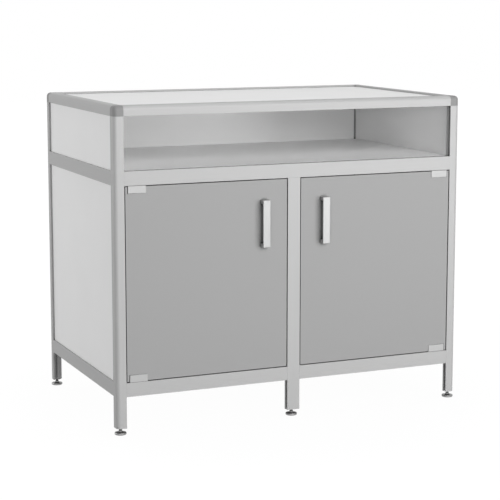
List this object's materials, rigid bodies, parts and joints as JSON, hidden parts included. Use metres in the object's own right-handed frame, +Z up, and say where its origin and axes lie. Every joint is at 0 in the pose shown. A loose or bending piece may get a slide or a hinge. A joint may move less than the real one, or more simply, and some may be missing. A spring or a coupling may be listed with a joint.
{
  "type": "laboratory cupboard bench",
  "caption": "Laboratory bench of aluminium profile with a recessed worktop, an open reagent niche and a cupboard with hinged doors.",
  "frame": {"origin": "bottom centre of the whole bench with its handles, on the floor", "axes": "+Z up, +X to the right along the worktop seen from the front, the doors face -Y"},
  "size_m": [1.004, 0.621, 0.85],
  "materials": {
    "anodised_aluminium": "satin anodised extrusion",
    "board_laminate": "light grey laminate",
    "door_laminate": "mid grey laminate",
    "grey_plastic": "moulded",
    "bright_aluminium": "bright satin",
    "satin_steel": "satin",
    "zinc_steel": "zinc plated",
    "bright_steel": "bright nickel plated",
    "black_nylon": "moulded",
    "catch_plastic": "moulded"
  },
  "bodies": {
    "frame": {"back_board_lower": "board_laminate", "back_board_upper": "board_laminate", "bottom_rail_front_left": "anodised_aluminium", "bottom_rail_front_right": "anodised_aluminium", "bottom_rail_left": "anodised_aluminium", "bottom_rail_rear": "anodised_aluminium", "bottom_rail_right": "anodised_aluminium", "cabinet_floor_board": "board_laminate", "catch_screws": "zinc_steel", "centre_stile": "anodised_aluminium", "corner_connector_front_left": "grey_plastic", "corner_connector_front_right": "grey_plastic", "corner_connector_rear_left": "grey_plastic", "corner_connector_rear_right": "grey_plastic", "leg_plugs": "black_nylon", "magnetic_catches": "catch_plastic", "mid_rail_front": "anodised_aluminium", "mid_rail_left": "anodised_aluminium", "mid_rail_rear": "anodised_aluminium", "mid_rail_right": "anodised_aluminium", "niche_shelf_board": "board_laminate", "pivot_blocks": "black_nylon", "post_front_left": "anodised_aluminium", "post_front_right": "anodised_aluminium", "post_rear_left": "anodised_aluminium", "post_rear_right": "anodised_aluminium", "rail_connectors": "zinc_steel", "side_board_lower_left": "board_laminate", "side_board_lower_right": "board_laminate", "side_board_upper_left": "board_laminate", "side_board_upper_right": "board_laminate", "top_rail_front": "anodised_aluminium", "top_rail_left": "anodised_aluminium", "top_rail_rear": "anodised_aluminium", "top_rail_right": "anodised_aluminium", "worktop_board": "board_laminate"},
    "left_door": {"left_clamp_screws": "zinc_steel", "left_door_handle": "bright_aluminium", "left_door_panel": "door_laminate", "left_handle_screws": "zinc_steel", "left_hinge_clamps": "satin_steel", "left_hinge_pins": "zinc_steel", "left_strike_plate": "zinc_steel"},
    "right_door": {"right_clamp_screws": "zinc_steel", "right_door_handle": "bright_aluminium", "right_door_panel": "door_laminate", "right_handle_screws": "zinc_steel", "right_hinge_clamps": "satin_steel", "right_hinge_pins": "zinc_steel", "right_strike_plate": "zinc_steel"},
    "foot_front_left": {"foot_base_front_left": "bright_steel"},
    "stem_front_left": {"foot_stem_front_left": "zinc_steel"},
    "foot_front_centre": {"foot_base_front_centre": "bright_steel"},
    "stem_front_centre": {"foot_stem_front_centre": "zinc_steel"},
    "foot_front_right": {"foot_base_front_right": "bright_steel"},
    "stem_front_right": {"foot_stem_front_right": "zinc_steel"},
    "foot_rear_left": {"foot_base_rear_left": "bright_steel"},
    "stem_rear_left": {"foot_stem_rear_left": "zinc_steel"},
    "foot_rear_right": {"foot_base_rear_right": "bright_steel"},
    "stem_rear_right": {"foot_stem_rear_right": "zinc_steel"}
  },
  "joints": [
    {"name": "left_door_hinge", "type": "hinge", "parent": "frame", "child": "left_door", "pos_m": [-0.4555, -0.2835, 0.392], "axis": [0, 0, -1], "range_deg": [0, 110]},
    {"name": "right_door_hinge", "type": "hinge", "parent": "frame", "child": "right_door", "pos_m": [0.4555, -0.2835, 0.392], "axis": [0, 0, 1], "range_deg": [0, 110]},
    {"name": "foot_height_front_left", "type": "slide", "parent": "frame", "child": "foot_front_left", "axis": [0, 0, -1], "range_m": [-0.005, 0.012]},
    {"name": "stem_turn_front_left", "type": "hinge", "parent": "foot_front_left", "child": "stem_front_left", "pos_m": [-0.4865, -0.278, 0.011], "axis": [0, 0, -1], "range_deg": [-1442, 3460]},
    {"name": "foot_height_front_centre", "type": "slide", "parent": "frame", "child": "foot_front_centre", "axis": [0, 0, -1], "range_m": [-0.005, 0.012]},
    {"name": "stem_turn_front_centre", "type": "hinge", "parent": "foot_front_centre", "child": "stem_front_centre", "pos_m": [0, -0.278, 0.011], "axis": [0, 0, -1], "range_deg": [-1442, 3460]},
    {"name": "foot_height_front_right", "type": "slide", "parent": "frame", "child": "foot_front_right", "axis": [0, 0, -1], "range_m": [-0.005, 0.012]},
    {"name": "stem_turn_front_right", "type": "hinge", "parent": "foot_front_right", "child": "stem_front_right", "pos_m": [0.4865, -0.278, 0.011], "axis": [0, 0, -1], "range_deg": [-1442, 3460]},
    {"name": "foot_height_rear_left", "type": "slide", "parent": "frame", "child": "foot_rear_left", "axis": [0, 0, -1], "range_m": [-0.005, 0.012]},
    {"name": "stem_turn_rear_left", "type": "hinge", "parent": "foot_rear_left", "child": "stem_rear_left", "pos_m": [-0.4865, 0.295, 0.011], "axis": [0, 0, -1], "range_deg": [-1442, 3460]},
    {"name": "foot_height_rear_right", "type": "slide", "parent": "frame", "child": "foot_rear_right", "axis": [0, 0, -1], "range_m": [-0.005, 0.012]},
    {"name": "stem_turn_rear_right", "type": "hinge", "parent": "foot_rear_right", "child": "stem_rear_right", "pos_m": [0.4865, 0.295, 0.011], "axis": [0, 0, -1], "range_deg": [-1442, 3460]}
  ],
  "couplings": [
    {"joint": "stem_turn_front_left", "follows": "foot_height_front_left", "rad_per_m": 5026.6},
    {"joint": "stem_turn_front_centre", "follows": "foot_height_front_centre", "rad_per_m": 5026.6},
    {"joint": "stem_turn_front_right", "follows": "foot_height_front_right", "rad_per_m": 5026.6},
    {"joint": "stem_turn_rear_left", "follows": "foot_height_rear_left", "rad_per_m": 5026.6},
    {"joint": "stem_turn_rear_right", "follows": "foot_height_rear_right", "rad_per_m": 5026.6}
  ]
}
